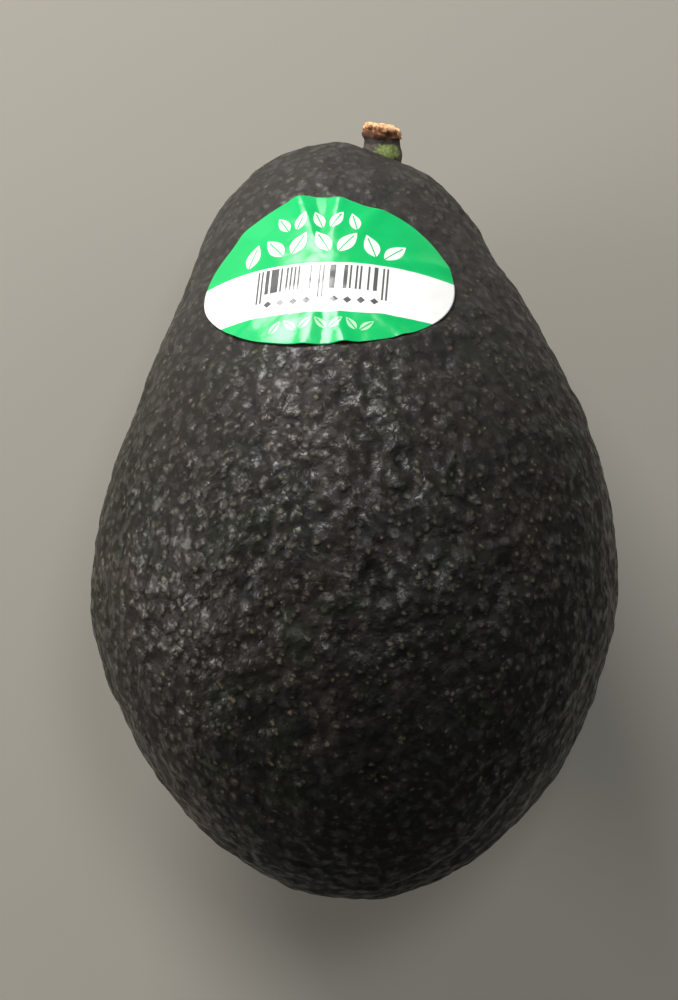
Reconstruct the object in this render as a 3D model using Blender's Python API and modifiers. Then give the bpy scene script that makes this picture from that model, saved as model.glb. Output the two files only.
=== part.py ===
"""A ripe, dark, pebble-skinned avocado lying on its side, with its stem stub and a blank fruit label.

Everything is in metres. The fruit's own frame has the stem end at +Y and the label on its +Z side. An
empty turns that frame into the pose in which the fruit lies by itself: the neck a little lower than the
belly, the lowest point under the centre of mass, and a small flat spot there at z = 0.
"""

import math
import random

import bmesh
import bpy
from mathutils import Vector, noise

# The smooth form. Its girth swells from the neck to the belly, and the skew moves the belly away from
# the stem, as in an egg.
LENGTH = 0.1134
NECK_GIRTH = 0.0256
BELLY_GIRTH = 0.0488
GIRTH_FROM = -0.95
GIRTH_TO = 0.62
EGG_SKEW = 0.275
DEPTH_SHARE = 0.95
NECK_LEAN = -0.00245
LEAN_FROM = -0.1
LEAN_TO = 0.9
# Low, wide lumps and hollows that make it lopsided: direction, height and spread in radians.
LUMPS = [
    (Vector((-1.00, 0.02, 0.10)), -0.0005, 0.35),
    (Vector((-0.86, -0.50, 0.10)), 0.0010, 0.15),
    (Vector((-0.72, -0.69, 0.10)), -0.0004, 0.20),
    (Vector((0.99, -0.13, 0.10)), 0.0003, 0.35),
    (Vector((0.70, -0.71, 0.10)), -0.0005, 0.30),
    (Vector((0.47, 0.86, 0.20)), -0.0003, 0.25),
    (Vector((-0.06, 0.97, 0.30)), 0.0007, 0.30),
]
SWELL_HEIGHT = 0.0003
SWELL_PITCH = 0.022

# The pose in which it lies.
LYING_TILT = math.radians(11.75)
LYING_SHIFT = 0.0037
LYING_HEIGHT = 0.03536
FLAT_SPOT_DEPTH = 0.0007

# The pebbled skin: each cell of the surface carries one pebble, larger than life.
PEBBLE_CELLS = 14
PEBBLE_SEED = 7
PAIR_CHANCE = 0.35
RELAX_ROUNDS = 240
PEBBLE_LOW = -0.00010
PEBBLE_HIGH = 0.00025
CREASE_DEPTH = 0.00050
SLOPE_SHARE = 0.25
FOOT_CLEARANCE = 0.0015

# The stem stub: a round peg with a narrow waist and a wider, torn, corky end. It grows out beside the
# fruit's long axis, on the side of the label.
STEM_DIRECTION = Vector((0.25, 0.94, 0.24)).normalized()
STEM_AXIS = Vector((0, 0.93, 0.36)).normalized()
STEM_STEPS = 28
STEM_ROOT_RADIUS = 0.0029
STEM_ROOT_DEPTH = 0.0026
# Radius and height of the torn end, from its middle to its rim, and then of the bark down to the skin.
STEM_CORK = [(0, 0.0040), (0.0011, 0.0042), (0.0022, 0.0043), (0.0029, 0.0040), (0.0031, 0.0030)]
STEM_BARK = [(0.0028, 0.0025), (0.0027, 0.0018), (0.0028, 0.0010)]
CORK_ROUGHNESS = 0.0006
CORK_GRAIN = 0.0014
SOCKET_GAP = 0.0003
SOCKET_MOUTH = 0.0040
SOCKET_SEAT_RADIUS = 0.0048

# The label: a thin oval film, stuck over the shoulder of the neck.
LABEL_DIRECTION = Vector((-0.132, 0.285, 0.949)).normalized()
LABEL_TURN = math.radians(-3.8)
LABEL_WIDTH = 0.038
LABEL_DEPTH = 0.0274
LABEL_THICKNESS = 0.0004
LABEL_HEIGHT = 0.00005
LABEL_SEAT_DEPTH = 0.00025
LABEL_SEAT_MARGIN = 0.0022
LABEL_COLUMNS = 20
LABEL_ROWS = 14
WALK_STEPS = 8
SLOPE_STEP = 0.001


def ease(value, start, end):
    """0 before start, 1 after end, and a smooth rise between them."""
    share = min(max((value - start) / (end - start), 0), 1)
    return share * share * (3 - 2 * share)


def mix(low, high, share):
    return low + (high - low) * share


def girth_and_lean(along):
    """The radius that the form is scaled to, and its sideways shift, at a station from -1 to 1."""
    girth = mix(BELLY_GIRTH, NECK_GIRTH, ease(along, GIRTH_FROM, GIRTH_TO))
    return girth, NECK_LEAN * ease(along, LEAN_FROM, LEAN_TO)


def form_point(direction):
    """The point of the smooth form in this unit direction."""
    along = direction.y
    girth, lean = girth_and_lean(along)
    station = along + EGG_SKEW * (1 - along * along)
    return Vector((girth * direction.x + lean, LENGTH / 2 * station, DEPTH_SHARE * girth * direction.z))


def form_direction(point):
    """The unit direction whose form point is nearest to this point along the form's own rays."""
    station = point.y / (LENGTH / 2)
    root = math.sqrt(max(1 - 4 * EGG_SKEW * (station - EGG_SKEW), 0))
    along = min(max((1 - root) / (2 * EGG_SKEW), -1), 1)
    girth, lean = girth_and_lean(along)
    return Vector(((point.x - lean) / girth, along, point.z / (DEPTH_SHARE * girth))).normalized()


def form_normal(direction):
    """The form's outward normal in this direction, from the slopes along two tangents."""
    side = direction.orthogonal().normalized() * SLOPE_STEP
    up = direction.cross(side)
    across = form_point((direction + side).normalized()) - form_point((direction - side).normalized())
    along = form_point((direction + up).normalized()) - form_point((direction - up).normalized())
    return across.cross(along).normalized()


def skin_point(direction, height):
    """The point at this height over the form, which swells and sinks a little as a real fruit does."""
    point = form_point(direction)
    swell = SWELL_HEIGHT * noise.noise(point / SWELL_PITCH)
    for middle, lump, spread in LUMPS:
        swell += lump * math.exp(-(direction.angle(middle) / spread) ** 2)
    return point + form_normal(direction) * (height + swell)


def label_frame():
    """The label's middle on the form, and the ways that run across it and up it."""
    middle = form_point(LABEL_DIRECTION)
    normal = form_normal(LABEL_DIRECTION)
    across = Vector((0, 1, 0)).cross(normal).normalized()
    up = normal.cross(across)
    turned = across * math.cos(LABEL_TURN) + up * math.sin(LABEL_TURN)
    return middle, turned, normal.cross(turned)


def walk_over_form(offset_across, offset_up):
    """The direction reached by walking over the form from the label's middle, as a film is laid down."""
    point, across, up = label_frame()
    distance = math.hypot(offset_across, offset_up)
    if distance == 0:
        return form_direction(point)
    heading = (across * offset_across + up * offset_up) / distance
    for _ in range(WALK_STEPS):
        direction = form_direction(point + heading * (distance / WALK_STEPS))
        normal = form_normal(direction)
        point = form_point(direction)
        heading = (heading - normal * heading.dot(normal)).normalized()
    return direction


def label_reach(angle):
    """How far the oval label's rim is from its middle at this angle."""
    return 0.5 / math.hypot(math.cos(angle) / LABEL_WIDTH, math.sin(angle) / LABEL_DEPTH)


def under_label(point):
    """1 where the label lies over the skin, 0 well clear of it."""
    middle, across, up = label_frame()
    offset = point - middle
    if offset.length > LABEL_WIDTH:
        return 0
    flat = Vector((offset.dot(across), offset.dot(up)))
    clear = flat.length - label_reach(math.atan2(flat.y, flat.x))
    return 1 - ease(clear, LABEL_SEAT_MARGIN, LABEL_SEAT_MARGIN * 1.5)


def stem_foot():
    """The point of the form where the stem grows out."""
    return form_point(STEM_DIRECTION)


def near_stem(point):
    """1 on the seat round the stem, 0 well clear of it."""
    away = (point - stem_foot()).length
    return 1 - ease(away, SOCKET_SEAT_RADIUS, SOCKET_SEAT_RADIUS * 1.6)


def plain_material(name, color, roughness):
    material = bpy.data.materials.new(name)
    material.use_nodes = True
    shader = material.node_tree.nodes["Principled BSDF"]
    shader.inputs["Base Color"].default_value = (*color, 1)
    shader.inputs["Roughness"].default_value = roughness
    shader.inputs["Metallic"].default_value = 0
    return material


def quad_sphere(cells):
    """A cube with each face cut into cells by cells, blown up into an evenly spaced sphere."""
    sphere = bmesh.new()
    bmesh.ops.create_cube(sphere, size=2)
    bmesh.ops.subdivide_edges(sphere, edges=sphere.edges[:], cuts=cells - 1, use_grid_fill=True)
    for vertex in sphere.verts:
        vertex.co = Vector([math.tan(part * math.pi / 4) for part in vertex.co]).normalized()
    return sphere


def pair_cells(mesh, draw):
    """Joins some neighbouring cells in pairs, so that the pebbles differ in size and shape."""
    edges = mesh.edges[:]
    draw.shuffle(edges)
    paired = set()
    between = []
    for edge in edges:
        cells = set(edge.link_faces)
        if not cells & paired and draw.random() < PAIR_CHANCE:
            paired |= cells
            between.append(edge)
    bmesh.ops.dissolve_edges(mesh, edges=between, use_verts=False)


def spread_over_form(mesh):
    """Lays the cells on the form and evens them out. Longer edges pull their corners harder."""
    for vertex in mesh.verts:
        vertex.co = form_point(vertex.co)
    for _ in range(RELAX_ROUNDS):
        moved = []
        for vertex in mesh.verts:
            steps = [edge.other_vert(vertex).co - vertex.co for edge in vertex.link_edges]
            pull = sum((step * step.length for step in steps), Vector())
            pull /= sum(step.length for step in steps)
            moved.append(form_point(form_direction(vertex.co + pull / 2)))
        for vertex, place in zip(mesh.verts, moved):
            vertex.co = place


def raise_pebbles(mesh, draw, pose):
    """Lifts a smaller copy of each cell into a pebble, with seats left for the label, stem and foot."""
    tops = mesh.faces[:]
    bmesh.ops.inset_individual(mesh, faces=tops, thickness=SLOPE_SHARE, use_relative_offset=True)
    lifts = {}
    for top in tops:
        lift = draw.uniform(PEBBLE_LOW, PEBBLE_HIGH)
        lifts.update({corner: lift for corner in top.verts})
    for vertex in mesh.verts:
        over_foot = ease((pose @ vertex.co).z, 0, FOOT_CLEARANCE)
        relief = lifts.get(vertex, -CREASE_DEPTH) * over_foot * (1 - near_stem(vertex.co))
        height = mix(relief, -LABEL_SEAT_DEPTH, under_label(vertex.co))
        vertex.co = skin_point(form_direction(vertex.co), height)


def flatten_foot(mesh, pose):
    """Brings what would lie below the surface up to it, which makes the flat spot."""
    back = pose.inverted()
    for vertex in mesh.verts:
        placed = pose @ vertex.co
        if placed.z < 0:
            vertex.co = back @ Vector((placed.x, placed.y, 0))


def new_object(name, data, collection, parent, material):
    """An object on these data, in this collection, carried by the lying pose's empty."""
    data.materials.append(material)
    data.shade_smooth()
    made = bpy.data.objects.new(name, data)
    collection.objects.link(made)
    made.parent = parent
    return made


def make_fruit(collection, lying):
    draw = random.Random(PEBBLE_SEED)
    skin = quad_sphere(PEBBLE_CELLS)
    pair_cells(skin, draw)
    spread_over_form(skin)
    raise_pebbles(skin, draw, lying.matrix_world)
    flatten_foot(skin, lying.matrix_world)
    data = bpy.data.meshes.new("fruit")
    skin.to_mesh(data)
    skin.free()
    material = plain_material("dark_skin", (0.028, 0.024, 0.021), 0.45)
    return new_object("fruit", data, collection, lying, material)


def cut_socket(fruit, cutters, lying):
    """Bores the blind hole that the stem's root stands in, a little wider and deeper than the root."""
    radius = STEM_ROOT_RADIUS + SOCKET_GAP
    depth = STEM_ROOT_DEPTH + SOCKET_GAP
    bpy.ops.mesh.primitive_cylinder_add(vertices=STEM_STEPS, radius=radius, depth=depth + SOCKET_MOUTH)
    cutter = bpy.context.object
    cutter.name = "socket_cutter"
    for owner in cutter.users_collection[:]:
        owner.objects.unlink(cutter)
    cutters.objects.link(cutter)
    cutter.parent = lying
    cutter.rotation_mode = "QUATERNION"
    cutter.rotation_quaternion = STEM_AXIS.to_track_quat("Z", "Y")
    cutter.location = stem_foot() + STEM_AXIS * (SOCKET_MOUTH - depth) / 2
    cutter.hide_render = True
    cutter.display_type = "WIRE"
    bore = fruit.modifiers.new("socket", "BOOLEAN")
    bore.operation = "DIFFERENCE"
    bore.solver = "EXACT"
    bore.object = cutter


def make_stem(collection, lying):
    """A turned stub. Its profile runs from the top's middle, over the torn rim and down to the root."""
    root = [(STEM_ROOT_RADIUS, 0), (STEM_ROOT_RADIUS, -STEM_ROOT_DEPTH), (0, -STEM_ROOT_DEPTH)]
    corners = [(radius, 0, height) for radius, height in STEM_CORK + STEM_BARK + root]
    data = bpy.data.meshes.new("stem")
    data.from_pydata(corners, [(index, index + 1) for index in range(len(corners) - 1)], [])
    material = plain_material("stem_bark", (0.20, 0.10, 0.045), 0.8)
    stem = new_object("stem", data, collection, lying, material)
    stem.location = stem_foot()
    stem.rotation_mode = "QUATERNION"
    stem.rotation_quaternion = STEM_AXIS.to_track_quat("Z", "Y")
    stem.vertex_groups.new(name="cork").add(list(range(len(STEM_CORK))), 1, "REPLACE")
    turn = stem.modifiers.new("turn", "SCREW")
    turn.steps = STEM_STEPS
    turn.render_steps = STEM_STEPS
    turn.use_merge_vertices = True
    turn.merge_threshold = 0.00001
    grain = bpy.data.textures.new("cork_grain", "CLOUDS")
    grain.noise_scale = CORK_GRAIN
    tear = stem.modifiers.new("tear", "DISPLACE")
    tear.texture = grain
    tear.strength = CORK_ROUGHNESS
    tear.vertex_group = "cork"


def make_label(collection, lying):
    """A grid rounded into a disc, stretched to the label's outline and walked on to the skin."""
    film = bmesh.new()
    bmesh.ops.create_grid(film, x_segments=LABEL_COLUMNS, y_segments=LABEL_ROWS, size=1)
    for vertex in film.verts:
        across = vertex.co.x * math.sqrt(1 - vertex.co.y ** 2 / 2)
        up = vertex.co.y * math.sqrt(1 - vertex.co.x ** 2 / 2)
        angle = math.atan2(up, across)
        share = math.hypot(across, up)
        reach = label_reach(angle) * share
        direction = walk_over_form(reach * math.cos(angle), reach * math.sin(angle))
        vertex.co = skin_point(direction, LABEL_HEIGHT)
    data = bpy.data.meshes.new("label")
    film.to_mesh(data)
    film.free()
    material = plain_material("green_film", (0.02, 0.50, 0.16), 0.25)
    label = new_object("label", data, collection, lying, material)
    thick = label.modifiers.new("thick", "SOLIDIFY")
    thick.thickness = LABEL_THICKNESS
    thick.offset = 1
    return label


def make_lying_pose(collection):
    """The empty that lays the fruit down, with its flat spot on z = 0."""
    lying = bpy.data.objects.new("lying", None)
    collection.objects.link(lying)
    lying.rotation_euler = (-LYING_TILT, 0, 0)
    lying.location = (0, LYING_SHIFT, LYING_HEIGHT - FLAT_SPOT_DEPTH)
    bpy.context.view_layer.update()
    return lying


def main():
    for old in list(bpy.data.objects):
        bpy.data.objects.remove(old)
    avocado = bpy.data.collections.new("avocado")
    cutters = bpy.data.collections.new("cutters")
    for made in (avocado, cutters):
        bpy.context.scene.collection.children.link(made)
    lying = make_lying_pose(avocado)
    fruit = make_fruit(avocado, lying)
    cut_socket(fruit, cutters, lying)
    make_stem(avocado, lying)
    make_label(avocado, lying)


if __name__ == "__main__":
    main()
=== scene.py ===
"""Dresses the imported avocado: skin with real-sized pebbles, a torn woody stub and a printed film label."""

import math

import bmesh
import bpy
from mathutils import Matrix, Vector, noise


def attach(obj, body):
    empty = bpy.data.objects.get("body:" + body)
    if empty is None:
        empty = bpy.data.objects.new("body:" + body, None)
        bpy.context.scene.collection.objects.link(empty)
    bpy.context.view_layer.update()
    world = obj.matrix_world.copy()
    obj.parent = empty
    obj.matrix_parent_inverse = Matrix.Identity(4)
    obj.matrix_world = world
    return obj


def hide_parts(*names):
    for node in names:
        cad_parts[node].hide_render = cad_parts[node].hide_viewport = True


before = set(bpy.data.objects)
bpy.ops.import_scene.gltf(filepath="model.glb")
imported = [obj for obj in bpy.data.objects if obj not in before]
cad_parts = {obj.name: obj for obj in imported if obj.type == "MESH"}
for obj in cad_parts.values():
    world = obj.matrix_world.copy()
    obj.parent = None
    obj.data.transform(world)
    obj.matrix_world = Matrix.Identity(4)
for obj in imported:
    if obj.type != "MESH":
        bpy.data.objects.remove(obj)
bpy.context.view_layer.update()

MM = 1000

# The smooth form, as in the part's source. Each lump has a direction, a height and a spread in radians.
LENGTH = 0.1134
NECK_GIRTH = 0.0256
BELLY_GIRTH = 0.0488
GIRTH_FROM = -0.95
GIRTH_TO = 0.62
EGG_SKEW = 0.275
DEPTH_SHARE = 0.95
NECK_LEAN = -0.00245
LEAN_FROM = -0.1
LEAN_TO = 0.9
LUMPS = [
    (Vector((-1.00, 0.02, 0.10)), -0.0005, 0.35),
    (Vector((-0.86, -0.50, 0.10)), 0.0010, 0.15),
    (Vector((-0.72, -0.69, 0.10)), -0.0004, 0.20),
    (Vector((0.99, -0.13, 0.10)), 0.0003, 0.35),
    (Vector((0.70, -0.71, 0.10)), -0.0005, 0.30),
    (Vector((0.47, 0.86, 0.20)), -0.0003, 0.25),
    (Vector((-0.06, 0.97, 0.30)), 0.0007, 0.30),
]
SWELL_HEIGHT = 0.0003
SWELL_PITCH = 0.022
SLOPE_STEP = 0.001

# The pose in which it lies.
LYING_TILT = math.radians(11.75)
LYING_SHIFT = 0.0037
LYING_HEIGHT = 0.03536
FLAT_SPOT_DEPTH = 0.0007
LYING_AT = Vector((0, LYING_SHIFT, LYING_HEIGHT - FLAT_SPOT_DEPTH))
LYING = Matrix.Translation(LYING_AT) @ Matrix.Rotation(-LYING_TILT, 4, "X")

# The skin's relief, in layers that each have a pitch and a height. It is strongest on the fruit's top side.
SKIN_CELLS = 128
BELLY_PULL = 0.30
ROLL_PITCH = 0.0095
ROLL_HEIGHT = 0.00034
WAVE_PITCH = 0.0045
WAVE_HEIGHT = 0.00027
PEBBLE_PITCH = 0.0026
PEBBLE_HEIGHT = 0.00024
PEBBLE_HARDNESS = 9
GRAIN_PITCH = 0.0013
GRAIN_HEIGHT = 0.00010
RELIEF_LIFT = -0.00010
KNOBBLY_DIRECTION = Vector((0.12, 0.02, 0.99)).normalized()
KNOBBLY_SPREAD = 0.50
KNOBBLY_GAIN = 2.5
WARP_PITCH = 0.004
WARP_REACH = 0.0004
WARP_SEED = 7

# The skin sinks a little under the label, and in a collar round the stub's foot.
UNDER_LABEL_DROP = 0.0001
LABEL_MARGIN = 0.0024
LABEL_STRETCH = 1.06
SKIN_COLLAR = -0.0003
COLLAR_REACH = (0.0030, 0.0056)

# The skin's finest detail, which its material adds.
LUMP_PITCH = 0.0020
LUMP_SOFTNESS = 0.5
LUMP_HEIGHT = 0.00021
GRIT_PITCH = 0.0011
GRIT_HEIGHT = 0.00013
PORE_PITCH = 0.0004
PORE_DEPTH = 0.00002
BEAD_PITCH = 0.00125
BEAD_REACH = (0.80, 0.10)
BEAD_SIZES = (0.7, 1.1)
BEAD_SHARES = (0.3, 1.0)
BEAD_HEIGHT = 0.00016
SPECK_REACH = (0.36, 0.12)
SPECK_SHAKE = 0.0008
SPECK_SHARES = (0.15, 0.90)
SPECK_RARITY = 1.5
BLOSSOM_SPECKS = 0.4

# Where along the fruit the neck calms down, and where the blossom end is worn smooth and darkened by painted
# shade.
NECK = (0.026, 0.052)
BLOSSOM = (-0.034, -0.049)
NECK_FLATTENS = -0.30
BLOSSOM_FLATTENS = -0.68

# The skin's gloss, which its raised tops have most of.
LUMP_TOPS = (0.72, 0.96)
GRIT_TOPS = (0.38, 0.64)
TOP_SHARES = {"lumps": 0.45, "beads": 0.35, "grit": 0.35}
GLOSSY_TOPS = (0.20, 0.85)
SPECULAR_RANGE = (0.09, 0.44)
SPECULAR_MEAN = 0.30
BLOSSOM_SPECULAR = 0.6
ROUGHNESS_MEAN = 0.4
ROUGHNESS_BASE = 0.38
ROUGHER = {"tops": -0.08, "blossom": 0.06, "neck": 0.10, "specks": 0.06, "mottle": 0.10}
ROUGH_MOTTLE = (0.3, 0.7)

# The skin's colours. A layer is a colour, the range of the field that it follows, and its strength. For
# hollows that field is the relief's height in millimetres, and for the two ends it is the place along Y.
# The hollow, crease and blossom layers are painted shade, and the neck layer is painted light.
PATCH_PITCH = 0.018
PATCH_RANGE = (0.35, 0.65)
PATCH_COLORS = ((0.0165, 0.0153, 0.0130), (0.0250, 0.0187, 0.0162))
GREEN_PITCH = 0.007
GREEN_LAYER = ((0.0148, 0.0194, 0.0108), (0.50, 0.70), 0.8)
MOTTLE_PITCH = 0.0016
MOTTLE_LAYER = ((0.033, 0.028, 0.023), (0.45, 0.75), 0.6)
HOLLOW_PAINTED_SHADE = ((0.006, 0.006, 0.005), (-0.05, -0.25), 0.6)
CREASE_PAINTED_SHADE = ((0.006, 0.006, 0.005), (0.6, 0.2), 0.35)
NECK_PAINTED_LIGHT = ((0.050, 0.047, 0.044), (0.002, 0.052), 0.75)
BLOSSOM_PAINTED_SHADE = ((0.0085, 0.0095, 0.0097), BLOSSOM, 0.75)
SPECK_COLORS = ((0.145, 0.104, 0.074), (0.103, 0.103, 0.058))

# A faint healed line and a broken scuff near the blossom end. Each is where a plane cuts the skin, given
# by its normal, its offset, half the width of the mark and the ranges of X and Y that it keeps to.
HEALED_LINE = {"normal": (-0.244, 0, 0.970), "offset": 0.0506, "width": 0.00050,
               "x": (0.001, 0.027), "y": (-0.053, -0.028)}
HEALED_COLOR = (0.13, 0.135, 0.13)
HEALED_SHARE = 0.6
SCUFF = {"normal": (0.710, 0.268, -0.652), "offset": -0.02633, "width": 0.0011,
         "x": (0.0175, 0.030), "y": (-0.0425, -0.0315)}
SCUFF_COLOR = (0.16, 0.172, 0.14)
SCUFF_BREAKS = (0.30, 0.60)
MARK_TAPER = 0.25
MARK_WOBBLE = 0.0024
MARK_WOBBLE_PITCH = 0.009
MARK_RISE = 0.00012

# The stem stub. Its profile gives the radius at each height along its own axis. A lobe of its rim has a
# turn in degrees, a rise and a spread, and a pit has a turn, a height, a depth and a reach.
STEM_DIRECTION = Vector((0.25, 0.94, 0.24)).normalized()
STEM_AXIS = Vector((0, 0.93, 0.36)).normalized()
STEM_COLUMNS = 112
STEM_ROUNDS = 70
STEM_PROFILE = [
    (0.0000, -0.0026), (0.0022, -0.0026), (0.0029, -0.0022), (0.0030, -0.0012), (0.0031, -0.0004),
    (0.0030, 0.0003), (0.0028, 0.0010), (0.0027, 0.0017), (0.0027, 0.0021), (0.0029, 0.0024),
    (0.0030, 0.0027), (0.0029, 0.0031), (0.0030, 0.0035), (0.0029, 0.0039), (0.0026, 0.0042),
    (0.0021, 0.0042), (0.0016, 0.0039), (0.0012, 0.0034), (0.0006, 0.0032), (0.0000, 0.0032),
]
RIM_LOBES = [(45, 0.0005, 45), (172, -0.0008, 45), (100, -0.0003, 14), (270, 0.0003, 40)]
LOBE_RADII = (0.0005, 0.0020)
CORK_HEIGHTS = (0.0020, 0.0030)
CORK_PITS = [(50, 0.0029, 0.0005, 0.0006), (112, 0.0029, 0.0006, 0.0008), (285, 0.0032, 0.0005, 0.0006)]
PIT_RADII = (0.0015, 0.0025)
CORK_GRAIN_PITCH = 0.0011
CORK_GRAIN_HEIGHT = 0.00030
CORK_GRAIN_UPWARD = 0.6
FINE_GRAIN_SHARE = 0.5
FINE_GRAIN_RATIO = 2.1
BARK_PITCH = 0.0009
BARK_HEIGHT = 0.00010
BARK_STRETCH = 0.4
CALM_RADIUS = 0.001

# The stub's colours. Heights are in millimetres, and the green patch has a turn, a height and two spreads.
FIBRE_PITCH = 0.0005
FIBRE_HEIGHT = 0.00015
STAIN_PITCH = 0.0016
STEM_ROUGHNESS = 0.8
LEVEL_SWAY = 0.8
RAGGED_SWAY = 1.6
GREEN_SWAY = 0.7
BARK_FIBRES = (0.35, 0.65)
BARK_COLORS = ((0.060, 0.050, 0.038), (0.13, 0.11, 0.085))
PATCH_GREENS = ((0.17, 0.22, 0.055), (0.29, 0.34, 0.115))
GREEN_PATCH = (110, 0.3, 44, 1.3)
GREEN_EDGE = (0.30, 0.60)
BAND_LAYER = ((0.036, 0.025, 0.017), (1.2, 1.7), 1)
CORK_FIBRES = (0.36, 0.60)
CORK_COLORS = ((0.42, 0.16, 0.045), (0.80, 0.42, 0.19))
STAIN_LAYER = ((0.24, 0.080, 0.022), (0.52, 0.66), 0.7)
UNDERSIDE_COLOR = (0.125, 0.045, 0.018)
UNDERSIDE_EDGE = (2.7, 3.9)
TORN_TOP_LAYER = ((0.90, 0.54, 0.29), (3.5, 4.4), 1)
# Painted shade in the torn pits, darker the deeper they go.
PIT_PAINTED_SHADE = ((0.095, 0.033, 0.012), (0.10, 0.50), 0.85)
CORK_EDGE = (2.20, 2.50)

# The label's film. Folds radiate from its middle, each with an angle, a height and a half width, and a
# wave of its rim has an angle, a height and a spread in degrees.
LABEL_DIRECTION = Vector((-0.132, 0.285, 0.949)).normalized()
LABEL_TURN = math.radians(-3.8)
LABEL_WIDTH = 0.038
LABEL_DEPTH = 0.0274
RIM_WAVES = [(113, 0.0008, 14), (158, -0.0006, 10), (-172, 0.0005, 14), (70, -0.0006, 12), (-75, -0.0004, 35)]
FILM_THICKNESS = 0.00008
FILM_HEIGHT = 0.00022
FILM_LOWEST = 0.00008
FILM_FOLLOWS = 0.08
FOLDS = [
    (112, 0.00050, 0.0012), (99, -0.00030, 0.0012), (88, 0.00035, 0.0012), (62, 0.00025, 0.0014),
    (146, 0.00020, 0.0016), (-72, 0.00045, 0.0011), (-84, -0.00025, 0.0011), (-97, 0.00025, 0.0012),
    (-40, 0.00030, 0.0011), (16, 0.00025, 0.0012), (-140, 0.00020, 0.0014),
]
FOLD_GROWTH = 1.5
LABEL_COLUMNS = 170
LABEL_ROWS = 122
WALK_STEPS = 8
RIPPLE_PITCH = 0.0022
RIPPLE_HEIGHT = 0.00006
FILM_ROUGHNESS = 0.21

# The label's print, in millimetres over the film laid flat. Each row of leaves follows an arc.
FLAT_SPAN = 40
PRINT_TURN = math.radians(2.6)
PRINT_SOFT = 0.05
HAZE_PITCH = 0.006
HAZE_RANGE = (0.4, 0.6)
FILM_GREENS = ((0.006, 0.50, 0.13), (0.008, 0.53, 0.145))
FILM_WHITE = (0.93, 0.93, 0.91)
INK_COLOR = (0.035, 0.035, 0.04)
INK_SHARE = 0.92
WHITE_BAND = (-7.75, 1.25)
BARS_MIDDLE = -0.4
BARS_HALF_WIDTH = 9.5
BARS_RANGE = (-3.6, 0.8)
GUARDS_LOW = -5.15
BAR_WIDTH = 0.285
BAR_SEED = 31
BAR_CHANCE = 0.52
LEAF_WHITE = (0.93, 0.93, 0.88)
LEAF_PALE = (0.45, 0.80, 0.50)
LEAF_ROWS = [
    {"middle": -1.6, "height": 9.5, "pitch": 2.6, "count": 5, "bend": 40,
     "length": 1.75, "width": 0.85, "lean": 24, "color": LEAF_WHITE},
    {"middle": -0.7, "height": 5.3, "pitch": 3.5, "count": 7, "bend": 48,
     "length": 2.25, "width": 1.15, "lean": 30, "color": LEAF_WHITE},
    {"middle": 0.0, "height": -9.6, "pitch": 2.2, "count": 7, "bend": 60,
     "length": 1.35, "width": 0.62, "lean": 42, "color": LEAF_PALE},
]
LEAF_TAPER = 0.75
MIDRIB = 0.11
MIDRIB_END = 0.7
DOT_HEIGHT = -5.6
DOT_PITCH = 1.9
DOT_REACH = 0.62
DOT_COUNT = 4
DOT_MIDDLES = (-5.1, 4.5)

# The photograph's camera, straight above the table.
PICTURE_HEIGHT_PX = 1000
FOCAL_PX = 2436
CAMERA_AT = Vector((-0.002585, 0.002337 + LYING_SHIFT, 0.400))
SENSOR_MM = 36
CLIP_START = 0.01

# The floor, the dim sky, and the soft lights: each has a name, a direction, a distance, a size, a power
# and a colour.
FLOOR_SIZE = 3
FLOOR_DROP = 0.00005
FLOOR_ROUGHNESS = 0.9
FLOOR_COLOR = (0.40, 0.375, 0.325, 1)
SKY_COLOR = (0.92, 0.96, 1, 1)
SKY_STRENGTH = 0.08
LIGHTS = [
    ("window", (-0.93, 0.10, 0.27), 0.60, 0.27, 2.1, (1, 0.97, 0.93)),
    ("wall", (-0.33, 0.84, 0.45), 0.65, 0.29, 4.4, (1, 0.99, 0.97)),
    ("room", (0.75, 0.35, 0.55), 0.60, 0.30, 0.32, (1, 0.98, 0.95)),
    ("ceiling", (0.15, 0.30, 0.94), 0.90, 0.21, 1.5, (0.97, 0.99, 1)),
]


def ease(value, start, end):
    """0 before start, 1 after end, and a smooth rise between them."""
    share = min(max((value - start) / (end - start), 0), 1)
    return share * share * (3 - 2 * share)


def mix(low, high, share):
    return low + (high - low) * share


def bell(value, spread):
    """1 at zero, falling off to nothing well past the spread on both sides."""
    return math.exp(-(value / spread) ** 2)


def turn_between(first, second):
    """The smaller turn between two angles in degrees, without its sign."""
    return abs((first - second + 180) % 360 - 180)


def girth_and_lean(along):
    """The radius that the form is scaled to, and its sideways shift, at a station from -1 to 1."""
    girth = mix(BELLY_GIRTH, NECK_GIRTH, ease(along, GIRTH_FROM, GIRTH_TO))
    return girth, NECK_LEAN * ease(along, LEAN_FROM, LEAN_TO)


def form_point(direction):
    """The point of the smooth form in this unit direction."""
    along = direction.y
    girth, lean = girth_and_lean(along)
    station = along + EGG_SKEW * (1 - along * along)
    return Vector((girth * direction.x + lean, LENGTH / 2 * station, DEPTH_SHARE * girth * direction.z))


def form_direction(point):
    """The unit direction that form_point turns into this point, or into the form under it."""
    station = point.y / (LENGTH / 2)
    root = math.sqrt(max(1 - 4 * EGG_SKEW * (station - EGG_SKEW), 0))
    along = min(max((1 - root) / (2 * EGG_SKEW), -1), 1)
    girth, lean = girth_and_lean(along)
    return Vector(((point.x - lean) / girth, along, point.z / (DEPTH_SHARE * girth))).normalized()


def form_normal(direction):
    """The form's outward normal in this direction, from the slopes along two tangents."""
    side = direction.orthogonal().normalized() * SLOPE_STEP
    up = direction.cross(side)
    across = form_point((direction + side).normalized()) - form_point((direction - side).normalized())
    along = form_point((direction + up).normalized()) - form_point((direction - up).normalized())
    return across.cross(along).normalized()


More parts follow.
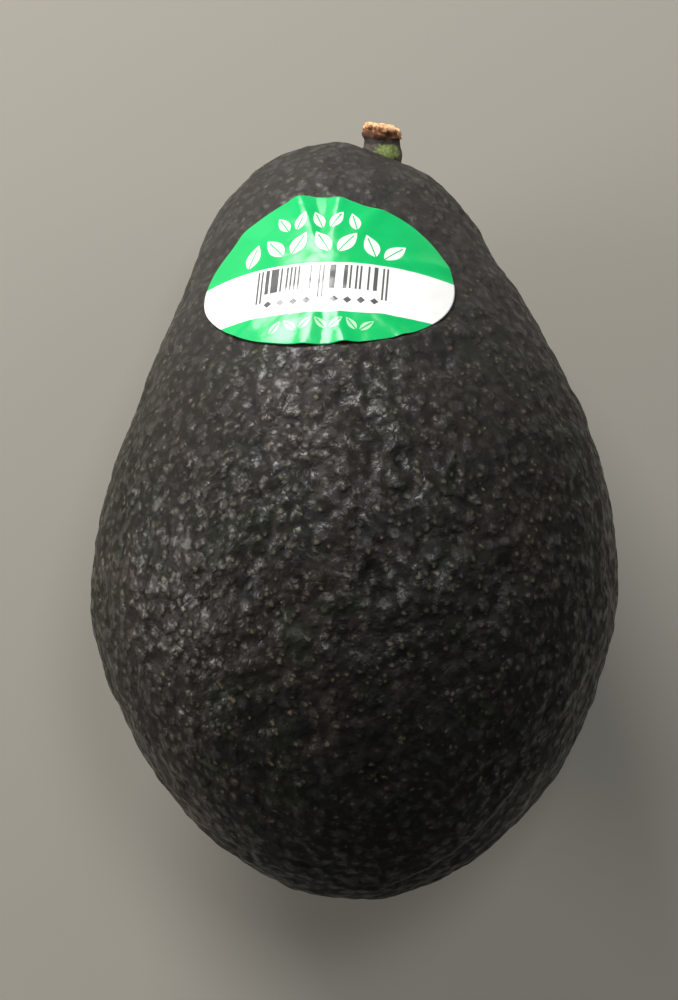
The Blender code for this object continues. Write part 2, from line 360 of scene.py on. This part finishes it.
def skin_point(direction, height):
    """The point at this height over the form, which swells and sinks a little as a real fruit does."""
    point = form_point(direction)
    swell = SWELL_HEIGHT * noise.noise(point / SWELL_PITCH)
    for middle, lump, spread in LUMPS:
        swell += lump * bell(direction.angle(middle), spread)
    return point + form_normal(direction) * (height + swell)


def relief(point):
    """The skin's height at this point of the form: rolls, waves, pebbles and fine grains."""
    place = point + noise.noise_vector(point / WARP_PITCH) * WARP_REACH
    height = WAVE_HEIGHT * noise.noise(place / WAVE_PITCH)
    nearness = sum(math.exp(-PEBBLE_HARDNESS * away) for away in noise.voronoi(place / PEBBLE_PITCH)[0])
    height += PEBBLE_HEIGHT * (1 - 2 * (math.log(nearness) / PEBBLE_HARDNESS) ** 2)
    height += GRAIN_HEIGHT * noise.noise(place / GRAIN_PITCH)
    height *= 1 + KNOBBLY_GAIN * bell(form_direction(point).angle(KNOBBLY_DIRECTION), KNOBBLY_SPREAD)
    return RELIEF_LIFT + ROLL_HEIGHT * noise.noise(place / ROLL_PITCH) + height


def label_frame():
    """The label's middle on the form, and the ways that run across it and up it."""
    middle = form_point(LABEL_DIRECTION)
    normal = form_normal(LABEL_DIRECTION)
    across = Vector((0, 1, 0)).cross(normal).normalized()
    up = normal.cross(across)
    turned = across * math.cos(LABEL_TURN) + up * math.sin(LABEL_TURN)
    return middle, turned, normal.cross(turned)


LABEL_FRAME = label_frame()


def walk_over_form(offset_across, offset_up):
    """The direction reached by walking over the form from the label's middle, as a film is laid down."""
    point, across, up = LABEL_FRAME
    distance = math.hypot(offset_across, offset_up)
    if distance == 0:
        return form_direction(point)
    heading = (across * offset_across + up * offset_up) / distance
    for _ in range(WALK_STEPS):
        direction = form_direction(point + heading * (distance / WALK_STEPS))
        normal = form_normal(direction)
        point = form_point(direction)
        heading = (heading - normal * heading.dot(normal)).normalized()
    return direction


def label_reach(angle):
    """How far the label's rim is from its middle at this angle: an oval with a slightly wavy cut."""
    reach = 0.5 / math.hypot(math.cos(angle) / LABEL_WIDTH, math.sin(angle) / LABEL_DEPTH)
    for place, wave, spread in RIM_WAVES:
        reach += wave * bell(turn_between(math.degrees(angle), place), spread)
    return reach


def under_label(point):
    """1 where the label lies over the skin, 0 well clear of it."""
    middle, across, up = LABEL_FRAME
    offset = point - middle
    if offset.length > LABEL_WIDTH:
        return 0
    flat = Vector((offset.dot(across), offset.dot(up)))
    clear = flat.length * LABEL_STRETCH - label_reach(math.atan2(flat.y, flat.x))
    return 1 - ease(clear, 0, LABEL_MARGIN)


def new_piece(name, mesh, material, node):
    """A smooth piece with this bmesh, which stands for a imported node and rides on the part."""
    data = bpy.data.meshes.new(name)
    mesh.to_mesh(data)
    mesh.free()
    data.shade_smooth()
    data.materials.append(material)
    piece = bpy.data.objects.new(name, data)
    bpy.context.scene.collection.objects.link(piece)
    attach(piece, "root")
    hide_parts(node)
    return piece


class Field:
    """A number that varies over a surface, as the output of a material node."""

    def __init__(self, socket):
        self.socket = socket

    def math(self, operation, *others):
        node = add_node(self.socket.node.id_data, "Math", settings={"operation": operation})
        for entry, value in zip(node.inputs, (self, *others)):
            fill(entry, value)
        return Field(node.outputs["Value"])

    def __add__(self, other):
        return self.math("ADD", other)

    def __sub__(self, other):
        return self.math("SUBTRACT", other)

    def __mul__(self, other):
        return self.math("MULTIPLY", other)

    def __truediv__(self, other):
        return self.math("DIVIDE", other)

    def size(self):
        return self.math("ABSOLUTE")

    def scaled(self, low, high):
        """Low where the field is 0, high where it is 1."""
        return self * (high - low) + low

    def rise(self, low, high):
        """0 where the field is at low, 1 where it is at high, smooth between them and level past them."""
        entries = {"Value": self, "From Min": low, "From Max": high}
        settings = {"interpolation_type": "SMOOTHSTEP"}
        return Field(add_node(self.socket.node.id_data, "MapRange", entries, settings).outputs["Result"])


def fill(entry, value):
    """Links a node's entry to a field or a socket, or sets it to a plain value."""
    if isinstance(value, Field):
        value = value.socket
    if isinstance(value, bpy.types.NodeSocket):
        entry.id_data.links.new(value, entry)
    else:
        entry.default_value = value


def add_node(tree, kind, entries=(), settings=()):
    node = tree.nodes.new("ShaderNode" + kind)
    for name, value in dict(settings).items():
        setattr(node, name, value)
    for name, value in dict(entries).items():
        fill(node.inputs[name], value)
    return node


def noise_field(tree, place, pitch, detail=2):
    node = add_node(tree, "TexNoise", {"Vector": place, "Scale": 1 / pitch, "Detail": detail})
    return Field(node.outputs["Fac"])


def mesh_field(tree, name):
    """A number that the mesh holds at each of its points."""
    return Field(add_node(tree, "Attribute", settings={"attribute_name": name}).outputs["Fac"])


def blend(tree, share, first, second):
    """A colour between two others. Each is a socket or three numbers.

    The node has sockets of the same name for every kind of data, so the colour ones go by number.
    """
    node = add_node(tree, "Mix", settings={"data_type": "RGBA"})
    fill(node.inputs[0], share)
    for entry, color in ((node.inputs[6], first), (node.inputs[7], second)):
        fill(entry, (*color, 1) if isinstance(color, tuple) else color)
    return node.outputs[2]


def lay(tree, base, field, layer):
    """Lays a layer's colour over the base where the field comes into the layer's range."""
    color, reach, strength = layer
    return blend(tree, field.rise(*reach) * strength, base, color)


def new_material(name, roughness):
    """A material with its node tree, its shader and the place on the surface."""
    material = bpy.data.materials.new(name)
    material.use_nodes = True
    tree = material.node_tree
    shader = tree.nodes["Principled BSDF"]
    shader.inputs["Roughness"].default_value = roughness
    return material, tree, shader, add_node(tree, "TexCoord").outputs["Object"]


def add_bump(tree, shader, height):
    """Raises the surface by a field of heights in metres."""
    bump = add_node(tree, "Bump", {"Height": height, "Distance": 1.0, "Strength": 1.0})
    fill(shader.inputs["Normal"], bump.outputs["Normal"])


def quad_sphere(cells):
    """A cube with each face cut into cells by cells, blown up into an evenly spaced sphere."""
    sphere = bmesh.new()
    bmesh.ops.create_cube(sphere, size=2)
    bmesh.ops.subdivide_edges(sphere, edges=sphere.edges[:], cuts=cells - 1, use_grid_fill=True)
    for vertex in sphere.verts:
        vertex.co = Vector([math.tan(part * math.pi / 4) for part in vertex.co]).normalized()
    return sphere


def towards_belly(direction):
    """Moves a direction away from the stem and keeps small squares square, to even out the cells."""
    scale = 1 / (1 - BELLY_PULL * direction.y)
    side = math.sqrt(1 - BELLY_PULL ** 2) * scale
    return Vector((direction.x * side, (direction.y - BELLY_PULL) * scale, direction.z * side))


def make_skin():
    skin = quad_sphere(SKIN_CELLS)
    heights = skin.verts.layers.float.new("height")
    stem_foot = form_point(STEM_DIRECTION)
    for vertex in skin.verts:
        direction = towards_belly(vertex.co)
        point = form_point(direction)
        height = relief(point)
        vertex[heights] = height * MM
        height = mix(height, FILM_FOLLOWS * height - UNDER_LABEL_DROP, under_label(point))
        height += SKIN_COLLAR * (1 - ease((point - stem_foot).length, *COLLAR_REACH))
        vertex.co = LYING @ skin_point(direction, height)
        vertex.co.z = max(vertex.co.z, 0)
    new_piece("skin", skin, skin_material(), "fruit")


def beads_and_specks(tree, place):
    """Fields of raised beads, of the pale speck on each bead, and of each speck's tint and strength."""
    shake = add_node(tree, "TexNoise", {"Vector": place, "Scale": 1 / SPECK_SHAKE, "Detail": 2})
    shaken = add_node(tree, "VectorMath", settings={"operation": "MULTIPLY_ADD"})
    fill(shaken.inputs[0], shake.outputs["Color"])
    shaken.inputs[1].default_value = (SPECK_SHAKE, SPECK_SHAKE, SPECK_SHAKE)
    fill(shaken.inputs[2], place)
    cells = add_node(tree, "TexVoronoi", {"Vector": shaken.outputs["Vector"], "Scale": 1 / BEAD_PITCH})
    draw = add_node(tree, "SeparateColor", {"Color": cells.outputs["Color"]})
    picked = Field(draw.outputs["Red"])
    away = Field(cells.outputs["Distance"]) / picked.scaled(*BEAD_SIZES)
    beads = away.rise(*BEAD_REACH) * picked.scaled(*BEAD_SHARES)
    strength = Field(draw.outputs["Blue"]).math("POWER", SPECK_RARITY).scaled(*SPECK_SHARES)
    return beads, away.rise(*SPECK_REACH), Field(draw.outputs["Green"]), strength


def mark(tree, place, wobble, cut):
    """A thin mark where a plane cuts the skin: 1 along its middle, 0 past its sides and its ends."""
    reach = add_node(tree, "VectorMath", settings={"operation": "DOT_PRODUCT"})
    fill(reach.inputs[0], place)
    reach.inputs[1].default_value = cut["normal"]
    past = Field(reach.outputs["Value"]) - cut["offset"] + wobble
    spot = add_node(tree, "SeparateXYZ", {"Vector": place})
    share = past.size().rise(cut["width"], 0)
    for axis in "xy":
        low, high = cut[axis]
        along = Field(spot.outputs[axis.upper()])
        starts = along.rise(low, mix(low, high, MARK_TAPER))
        ends = along.rise(high, mix(low, high, 1 - MARK_TAPER))
        share = share * starts * ends
    return share


def skin_material():
    """Near-black skin with glossy tops, dull creases, warm specks, a pale neck and a worn blossom end.

    Painted shade darkens the hollows, the creases and the blossom end, and painted light makes the neck pale.
    """
    material, tree, shader, place = new_material("dark_skin", ROUGHNESS_MEAN)
    mottle = noise_field(tree, place, MOTTLE_PITCH, 3)
    grit = noise_field(tree, place, GRIT_PITCH)
    pores = noise_field(tree, place, PORE_PITCH)
    domes = add_node(tree, "TexVoronoi", {"Vector": place, "Scale": 1 / LUMP_PITCH}, {"feature": "SMOOTH_F1"})
    domes.inputs["Smoothness"].default_value = LUMP_SOFTNESS
    lumps = Field(domes.outputs["Distance"]).math("POWER", 2).scaled(1, 0)
    beads, specks, tint, strength = beads_and_specks(tree, place)
    tops = lumps.rise(*LUMP_TOPS) * TOP_SHARES["lumps"] + beads * TOP_SHARES["beads"]
    tops = tops + grit.rise(*GRIT_TOPS) * TOP_SHARES["grit"]
    lengthwise = Field(add_node(tree, "SeparateXYZ", {"Vector": place}).outputs["Y"])
    neck = lengthwise.rise(*NECK)
    blossom = lengthwise.rise(*BLOSSOM)
    wobble = (noise_field(tree, place, MARK_WOBBLE_PITCH) - 0.5) * MARK_WOBBLE
    line = mark(tree, place, wobble, HEALED_LINE)
    scuff = mark(tree, place, wobble, SCUFF) * mottle.rise(*SCUFF_BREAKS)

    base = blend(tree, noise_field(tree, place, PATCH_PITCH).rise(*PATCH_RANGE), *PATCH_COLORS)
    base = lay(tree, base, noise_field(tree, place, GREEN_PITCH, 3), GREEN_LAYER)
    base = lay(tree, base, mottle, MOTTLE_LAYER)
    # Painted shade in the hollows, darker the lower the relief.
    base = lay(tree, base, mesh_field(tree, "height"), HOLLOW_PAINTED_SHADE)
    # Painted shade in the creases between the raised tops.
    base = lay(tree, base, tops, CREASE_PAINTED_SHADE)
    # Painted light, paler from the middle towards the neck.
    base = lay(tree, base, lengthwise, NECK_PAINTED_LIGHT)
    # Painted shade, darker towards the blossom end.
    base = lay(tree, base, lengthwise, BLOSSOM_PAINTED_SHADE)
    shown = strength * blossom.scaled(1, BLOSSOM_SPECKS)
    base = blend(tree, specks * shown, base, blend(tree, tint, *SPECK_COLORS))
    base = blend(tree, line * HEALED_SHARE, base, HEALED_COLOR)
    base = blend(tree, scuff, base, SCUFF_COLOR)
    fill(shader.inputs["Base Color"], base)

    # The mean is what stays of the specular level where only a plain value can be kept.
    gloss = tops.rise(*GLOSSY_TOPS)
    specular = gloss.scaled(*SPECULAR_RANGE) * blossom.scaled(1, BLOSSOM_SPECULAR)
    shader.inputs["Specular IOR Level"].default_value = SPECULAR_MEAN
    fill(shader.inputs["Specular IOR Level"], specular)
    rough = gloss * ROUGHER["tops"] + blossom * ROUGHER["blossom"] + ROUGHNESS_BASE
    rough = rough + mottle.rise(*ROUGH_MOTTLE) * ROUGHER["mottle"]
    fill(shader.inputs["Roughness"], rough + specks * ROUGHER["specks"] + neck * ROUGHER["neck"])
    detail = lumps * LUMP_HEIGHT + beads * BEAD_HEIGHT + grit * GRIT_HEIGHT + pores * PORE_DEPTH
    calm = neck * NECK_FLATTENS + blossom * BLOSSOM_FLATTENS + 1
    add_bump(tree, shader, detail * calm + line * MARK_RISE)
    return material


def profile_place(share):
    """The radius and height at a share of the way along the stub's profile, on smooth curves."""
    last = len(STEM_PROFILE) - 1
    start = min(int(share * last), last - 1)
    part = share * last - start
    corners = [STEM_PROFILE[min(max(start + step, 0), last)] for step in (-1, 0, 1, 2)]
    before, first, second, after = (Vector(corner) for corner in corners)
    return first + 0.5 * part * (
        second - before + part * (2 * before - 5 * first + 4 * second - after
                                  + part * (3 * (first - second) + after - before)))


def pit_depth(turn, share):
    """How deep the cork is torn out at this turn and share of the profile."""
    radius, height = profile_place(share)
    depth = 0
    for pit, level, deepest, reach in CORK_PITS:
        away = math.hypot(math.radians(turn_between(turn, pit)) * radius, height - level)
        depth += deepest * bell(away, reach) * ease(radius, *PIT_RADII)
    return depth


def stem_point(turn, share):
    """A point of the torn stub in its own frame, at a turn in degrees and a share of the profile."""
    radius, height = profile_place(share)
    way = Vector((math.cos(math.radians(turn)), math.sin(math.radians(turn)), 0))
    place = way * radius + Vector((0, 0, height))
    cork = ease(height, *CORK_HEIGHTS)
    for lobe, rise, spread in RIM_LOBES:
        height += rise * bell(turn_between(turn, lobe), spread) * cork * ease(radius, *LOBE_RADII)
    radius -= pit_depth(turn, share)
    grain = noise.noise(place / CORK_GRAIN_PITCH)
    grain += FINE_GRAIN_SHARE * noise.noise(place / CORK_GRAIN_PITCH * FINE_GRAIN_RATIO)
    bark = noise.noise(Vector((place.x, place.y, place.z * BARK_STRETCH)) / BARK_PITCH)
    torn = CORK_GRAIN_HEIGHT * grain * cork
    radius += (torn + BARK_HEIGHT * bark * (1 - cork)) * min(radius / CALM_RADIUS, 1)
    return way * radius + Vector((0, 0, height + torn * CORK_GRAIN_UPWARD))


def join_rings(mesh, lower, upper):
    """Faces between two rings of points, either of which may be a single point on the axis."""
    for column in range(STEM_COLUMNS):
        following = (column + 1) % STEM_COLUMNS
        if len(lower) == 1:
            corners = (lower[0], upper[following], upper[column])
        elif len(upper) == 1:
            corners = (lower[column], lower[following], upper[0])
        else:
            corners = (lower[column], lower[following], upper[following], upper[column])
        mesh.faces.new(corners)


def make_stem():
    stub = bmesh.new()
    levels = stub.verts.layers.float.new("level")
    pits = stub.verts.layers.float.new("pit")
    greens = stub.verts.layers.float.new("green")
    middle, level, spread, reach = GREEN_PATCH
    rings = []
    for step in range(STEM_ROUNDS + 1):
        share = step / STEM_ROUNDS
        ring = []
        for column in range(1 if step in (0, STEM_ROUNDS) else STEM_COLUMNS):
            turn = 360 * column / STEM_COLUMNS
            vertex = stub.verts.new(stem_point(turn, share))
            vertex[levels] = profile_place(share).y * MM
            vertex[pits] = pit_depth(turn, share) * MM
            vertex[greens] = bell(turn_between(turn, middle), spread) * bell(vertex[levels] - level, reach)
            ring.append(vertex)
        rings.append(ring)
    for lower, upper in zip(rings, rings[1:]):
        join_rings(stub, lower, upper)
    upright = STEM_AXIS.to_track_quat("Z", "Y").to_matrix().to_4x4()
    stub.transform(LYING @ Matrix.Translation(form_point(STEM_DIRECTION)) @ upright)
    new_piece("stub", stub, stem_material(), "stem")


def stem_material():
    """Pale torn cork with painted brown shade in its pits above, a dark band under it and a green patch at
    the foot.
    """
    material, tree, shader, place = new_material("stub_bark", STEM_ROUGHNESS)
    fibres = noise_field(tree, place, FIBRE_PITCH, 4)
    stains = noise_field(tree, place, STAIN_PITCH)
    level = mesh_field(tree, "level") + stains * LEVEL_SWAY - LEVEL_SWAY / 2
    ragged = level + fibres * RAGGED_SWAY - RAGGED_SWAY / 2

    bark = blend(tree, fibres.rise(*BARK_FIBRES), *BARK_COLORS)
    leaf = blend(tree, fibres.rise(*BARK_FIBRES), *PATCH_GREENS)
    patch = mesh_field(tree, "green") + fibres * GREEN_SWAY - GREEN_SWAY / 2
    bark = blend(tree, patch.rise(*GREEN_EDGE), bark, leaf)
    bark = lay(tree, bark, level, BAND_LAYER)
    cork = blend(tree, fibres.rise(*CORK_FIBRES), *CORK_COLORS)
    cork = lay(tree, cork, stains, STAIN_LAYER)
    cork = blend(tree, ragged.rise(*UNDERSIDE_EDGE), UNDERSIDE_COLOR, cork)
    cork = lay(tree, cork, ragged, TORN_TOP_LAYER)
    # Painted shade in the torn pits, darker the deeper they go.
    cork = lay(tree, cork, mesh_field(tree, "pit"), PIT_PAINTED_SHADE)
    fill(shader.inputs["Base Color"], blend(tree, level.rise(*CORK_EDGE), bark, cork))
    add_bump(tree, shader, fibres * FIBRE_HEIGHT)
    return material


def film_height(across, up):
    """The film's height over the form: it bridges the pebbles and buckles in folds towards its rim."""
    direction = walk_over_form(across, up)
    height = FILM_HEIGHT + FILM_FOLLOWS * relief(form_point(direction))
    for angle, rise, width in FOLDS:
        way = Vector((math.cos(math.radians(angle)), math.sin(math.radians(angle))))
        along = way.x * across + way.y * up
        aside = way.x * up - way.y * across
        share = max(along, 0) / label_reach(math.radians(angle))
        height += rise * share ** FOLD_GROWTH * bell(aside, width)
    return direction, max(height, FILM_LOWEST)


def make_label():
    film = bmesh.new()
    bmesh.ops.create_grid(film, x_segments=LABEL_COLUMNS, y_segments=LABEL_ROWS, size=1)
    flats = {}
    for vertex in film.verts:
        across = vertex.co.x * math.sqrt(1 - vertex.co.y ** 2 / 2)
        up = vertex.co.y * math.sqrt(1 - vertex.co.x ** 2 / 2)
        angle = math.atan2(up, across)
        reach = label_reach(angle) * math.hypot(across, up)
        flat = Vector((reach * math.cos(angle), reach * math.sin(angle)))
        flats[vertex] = flat
        vertex.co = LYING @ skin_point(*film_height(*flat))
    layer = film.loops.layers.uv.new("flat")
    for face in film.faces:
        for loop in face.loops:
            loop[layer].uv = flats[loop.vert] * MM / FLAT_SPAN + Vector((0.5, 0.5))
    label = new_piece("film", film, label_material(), "label")
    thick = label.modifiers.new("thick", "SOLIDIFY")
    thick.thickness = FILM_THICKNESS
    thick.offset = 1


def above(field, limit):
    return field.rise(limit - PRINT_SOFT, limit + PRINT_SOFT)


def below(field, limit):
    return above(field, limit).scaled(1, 0)


def between(field, low, high):
    return above(field, low) * below(field, high)


def leaf_row(across, up, row):
    """Leaves along an arc, leaning left and right in turn, each with a bare midrib."""
    sideways = across - row["middle"]
    sweep = up + (row["bend"] - row["height"])
    arc = sideways.math("ARCTAN2", sweep) * row["bend"]
    out = (sideways.math("POWER", 2) + sweep.math("POWER", 2)).math("SQRT") - row["bend"]
    half = (row["count"] - 1) / 2
    number = (arc / row["pitch"]).math("ROUND").math("MAXIMUM", -half).math("MINIMUM", half)
    aside = (arc - number * row["pitch"]) * number.math("PINGPONG", 1).scaled(-1, 1)
    lean = math.radians(row["lean"])
    share = (out * math.cos(lean) + aside * math.sin(lean)) / row["length"]
    over = (aside * math.cos(lean) - out * math.sin(lean)).size()
    edge = (share * share).scaled(1, 0).math("MAXIMUM", 0) * share.scaled(1, LEAF_TAPER) * row["width"]
    blade = (above(over, MIDRIB) + above(share, MIDRIB_END)).math("MINIMUM", 1)
    return above(edge - over, PRINT_SOFT) * blade


def bars(across, up):
    """Upright bars of chance widths, with a taller pair at each end and in the middle, clear of the rest."""
    place = across - BARS_MIDDLE
    away = place.size()
    module = (place / BAR_WIDTH).math("FLOOR")
    tree = across.socket.node.id_data
    draw = add_node(tree, "TexWhiteNoise", {"W": module + BAR_SEED}, {"noise_dimensions": "1D"})
    pattern = Field(draw.outputs["Value"]).math("GREATER_THAN", BAR_CHANCE)
    inside = below(away, BARS_HALF_WIDTH - 4 * BAR_WIDTH) * above(away, 3 * BAR_WIDTH)
    short = pattern * inside * between(up, *BARS_RANGE)
    from_end = (away - (BARS_HALF_WIDTH - 1.5 * BAR_WIDTH)).size()
    from_middle = (away - BAR_WIDTH).size()
    guards = between(from_end, BAR_WIDTH * 0.5, BAR_WIDTH * 1.5) + below(from_middle, BAR_WIDTH * 0.5)
    return short + guards * between(up, GUARDS_LOW, BARS_RANGE[1])


def dot_row(across, up, middle):
    """A short row of diamonds under the bars."""
    place = across - middle
    half = (DOT_COUNT - 1) / 2
    number = ((place / DOT_PITCH + 0.5).math("ROUND") - 0.5).math("MAXIMUM", -half).math("MINIMUM", half)
    away = (place - number * DOT_PITCH).size() + (up - DOT_HEIGHT).size()
    return above(away * -1, -DOT_REACH)


def label_material():
    """Glossy film, printed in green and white with rows of leaves, plain bars and diamonds."""
    material, tree, shader, place = new_material("printed_film", FILM_ROUGHNESS)
    laid_flat = add_node(tree, "UVMap", settings={"uv_map": "flat"}).outputs["UV"]
    flat = add_node(tree, "SeparateXYZ", {"Vector": laid_flat})
    right = (Field(flat.outputs["X"]) - 0.5) * FLAT_SPAN
    top = (Field(flat.outputs["Y"]) - 0.5) * FLAT_SPAN
    across = right * math.cos(PRINT_TURN) + top * math.sin(PRINT_TURN)
    up = top * math.cos(PRINT_TURN) - right * math.sin(PRINT_TURN)

    base = blend(tree, noise_field(tree, place, HAZE_PITCH).rise(*HAZE_RANGE), *FILM_GREENS)
    base = blend(tree, between(up, *WHITE_BAND), base, FILM_WHITE)
    for row in LEAF_ROWS:
        base = blend(tree, leaf_row(across, up, row), base, row["color"])
    first, second = (dot_row(across, up, middle) for middle in DOT_MIDDLES)
    ink = bars(across, up) + (first + second)
    fill(shader.inputs["Base Color"], blend(tree, ink * INK_SHARE, base, INK_COLOR))
    add_bump(tree, shader, noise_field(tree, place, RIPPLE_PITCH) * RIPPLE_HEIGHT)
    return material


def make_camera():
    data = bpy.data.cameras.new("camera")
    data.sensor_width = SENSOR_MM
    data.lens = FOCAL_PX / PICTURE_HEIGHT_PX * SENSOR_MM
    data.clip_start = CLIP_START
    camera = bpy.data.objects.new("camera", data)
    camera.location = CAMERA_AT
    bpy.context.scene.collection.objects.link(camera)
    bpy.context.scene.camera = camera


def make_light(name, direction, distance, size, power, color):
    """A soft square light that looks at the fruit from this direction."""
    data = bpy.data.lights.new(name, "AREA")
    data.size = size
    data.energy = power
    data.color = color
    light = bpy.data.objects.new(name, data)
    way = Vector(direction).normalized()
    light.location = way * distance
    light.rotation_euler = way.to_track_quat("Z", "Y").to_euler()
    light.visible_camera = False
    bpy.context.scene.collection.objects.link(light)


def make_surroundings():
    bpy.ops.mesh.primitive_plane_add(size=FLOOR_SIZE, location=(0, 0, -FLOOR_DROP))
    floor = bpy.context.object
    floor.name = "floor"
    material, _, shader, _ = new_material("pale_floor", FLOOR_ROUGHNESS)
    shader.inputs["Base Color"].default_value = FLOOR_COLOR
    floor.data.materials.append(material)
    for light in LIGHTS:
        make_light(*light)
    world = bpy.data.worlds.new("studio")
    world.use_nodes = True
    sky = world.node_tree.nodes["Background"]
    sky.inputs["Color"].default_value = SKY_COLOR
    sky.inputs["Strength"].default_value = SKY_STRENGTH
    bpy.context.scene.world = world
    bpy.context.scene.view_settings.view_transform = "Standard"


make_camera()
make_surroundings()
# Without a seed of its own the warp of the skin's relief would start from the clock.
noise.seed_set(WARP_SEED)
make_skin()
make_stem()
make_label()
